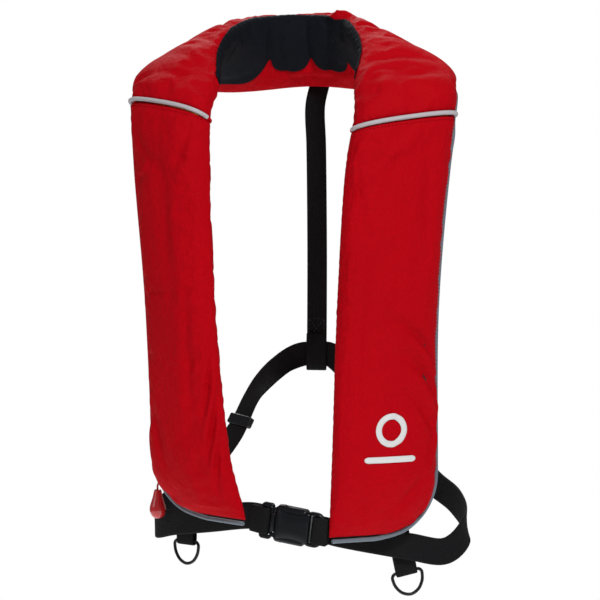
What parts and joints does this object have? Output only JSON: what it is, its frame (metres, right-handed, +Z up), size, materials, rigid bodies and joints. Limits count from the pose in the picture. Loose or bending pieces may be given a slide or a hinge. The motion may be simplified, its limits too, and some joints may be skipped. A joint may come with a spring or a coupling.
{
  "type": "inflatable life jacket",
  "caption": "Horseshoe inflatable life jacket: padded red lobes and collar, back strap, waist belt with side release buckle, D-rings and a red pull handle; gas inflator and mouth tube inside.",
  "frame": {"origin": "base of the wearer's neck on the middle plane, level with the tops of the shoulders that carry the jacket", "axes": "+Z up; the wearer faces -Y; +X is the wearer's left"},
  "size_m": [0.3871, 0.2893, 0.6645],
  "materials": {
    "red_cloth": "matt woven nylon",
    "navy_lining": "soft brushed lining",
    "reflective_piping": "silver reflective cord",
    "grey_piping": "grey reflective cord",
    "webbing": "woven polyester webbing",
    "black_plastic": "moulded, lightly textured",
    "ring_metal": "black coated wire",
    "red_plastic": "moulded, glossy",
    "bladder_fabric": "coated cloth",
    "steel": "plain",
    "black_rubber": "matt",
    "green_plastic": "moulded",
    "orange_plastic": "moulded",
    "fastening_tape": "hook and loop",
    "cord": "braided cord",
    "red_cord": "braided cord"
  },
  "bodies": {
    "jacket": {"cover_front_right": "red_cloth", "cover_front_left": "red_cloth", "back_panel_right": "red_cloth", "back_panel_left": "red_cloth", "collar_cover": "red_cloth", "collar_lining": "navy_lining", "edge_piping_right": "grey_piping", "edge_piping_left": "grey_piping", "shoulder_piping_right": "reflective_piping", "shoulder_piping_left": "reflective_piping", "hook_tape_right": "fastening_tape", "hook_tape_left": "fastening_tape", "loop_tape_right": "fastening_tape", "loop_tape_left": "fastening_tape", "chest_patch": "reflective_piping", "bladder": "bladder_fabric", "inflator_body": "black_plastic", "inflator_manifold": "black_plastic", "dome_nut": "steel", "lever_axle": "steel", "pin_spring": "steel", "indicator_clip": "green_plastic", "sensor_cap": "black_plastic", "sensor_pill": "bladder_fabric", "mouth_tube": "black_rubber", "tube_foot": "black_rubber", "valve_body": "black_plastic", "valve_spring": "steel", "whistle": "orange_plastic", "whistle_lanyard": "cord", "belt_right": "webbing", "belt_left": "webbing", "back_strap": "webbing", "belt_keeper": "black_plastic", "buckle_socket": "black_plastic", "socket_loop": "webbing", "ring_tab_right": "webbing", "ring_tab_left": "webbing"},
    "buckle_plug": {"buckle_plug": "black_plastic", "plug_loop": "webbing"},
    "arm_upper": {"buckle_arm_upper": "black_plastic"},
    "arm_lower": {"buckle_arm_lower": "black_plastic"},
    "ring_right": {"d_ring_right": "ring_metal"},
    "ring_left": {"d_ring_left": "ring_metal"},
    "handle": {"pull_handle": "red_plastic", "pull_lanyard": "red_cord"},
    "lever": {"firing_lever": "black_plastic"},
    "pin": {"piercing_pin": "steel"},
    "cylinder": {"gas_cylinder": "steel"},
    "poppet": {"valve_poppet": "red_plastic"},
    "cap": {"dust_cap": "red_plastic"}
  },
  "joints": [
    {"name": "buckle_release", "type": "slide", "parent": "jacket", "child": "buckle_plug", "axis": [-0.9764, 0.1722, 0.1305], "range_m": [0, 0.03]},
    {"name": "arm_upper_squeeze", "type": "hinge", "parent": "buckle_plug", "child": "arm_upper", "pos_m": [-0.00623, -0.12487, -0.48751], "axis": [0.1736, 0.9848, 0], "range_deg": [0, 6], "stiffness_Nm_per_rad": 0.4},
    {"name": "arm_lower_squeeze", "type": "hinge", "parent": "buckle_plug", "child": "arm_lower", "pos_m": [-0.00983, -0.12424, -0.51527], "axis": [-0.1736, -0.9848, 0], "range_deg": [0, 6], "stiffness_Nm_per_rad": 0.4},
    {"name": "ring_right_swing", "type": "hinge", "parent": "jacket", "child": "ring_right", "pos_m": [-0.12454, -0.05446, -0.539], "axis": [0.9135, -0.4067, 0], "range_deg": [-80, 80]},
    {"name": "ring_left_swing", "type": "hinge", "parent": "jacket", "child": "ring_left", "pos_m": [0.12995, -0.07, -0.562], "axis": [0.9192, 0.3345, 0.2079], "range_deg": [-80, 80]},
    {"name": "handle_pull", "type": "slide", "parent": "jacket", "child": "handle", "axis": [0, 0, -1], "range_m": [0, 0.019], "stiffness_N_per_m": 80, "springref_m": -0.002, "deforming": ["pull_lanyard"]},
    {"name": "lever_turn", "type": "hinge", "parent": "jacket", "child": "lever", "pos_m": [-0.10379, -0.11936, -0.43782], "axis": [-0.5997, -0.7974, -0.0671], "range_deg": [0, 50.5]},
    {"name": "pin_strike", "type": "slide", "parent": "jacket", "child": "pin", "axis": [-0.0938, -0.0133, 0.9955], "range_m": [0, 0.0051], "deforming": ["pin_spring"]},
    {"name": "cylinder_unscrew", "type": "hinge", "parent": "jacket", "child": "cylinder", "pos_m": [-0.11083, -0.12036, -0.36316], "axis": [-0.0938, -0.0133, 0.9955], "continuous": true},
    {"name": "valve_press", "type": "slide", "parent": "jacket", "child": "poppet", "axis": [-0.0485, -0.0201, -0.9986], "range_m": [0, 0.003], "stiffness_N_per_m": 120, "springref_m": -0.001, "deforming": ["valve_spring"]},
    {"name": "cap_pull", "type": "slide", "parent": "jacket", "child": "cap", "axis": [0.0485, 0.0201, 0.9986], "range_m": [0, 0.016]}
  ],
  "couplings": [
    {"joint": "lever_turn", "follows": "handle_pull", "rad_per_m": 45.93},
    {"joint": "pin_strike", "follows": "handle_pull", "ratio": 0.26316}
  ]
}
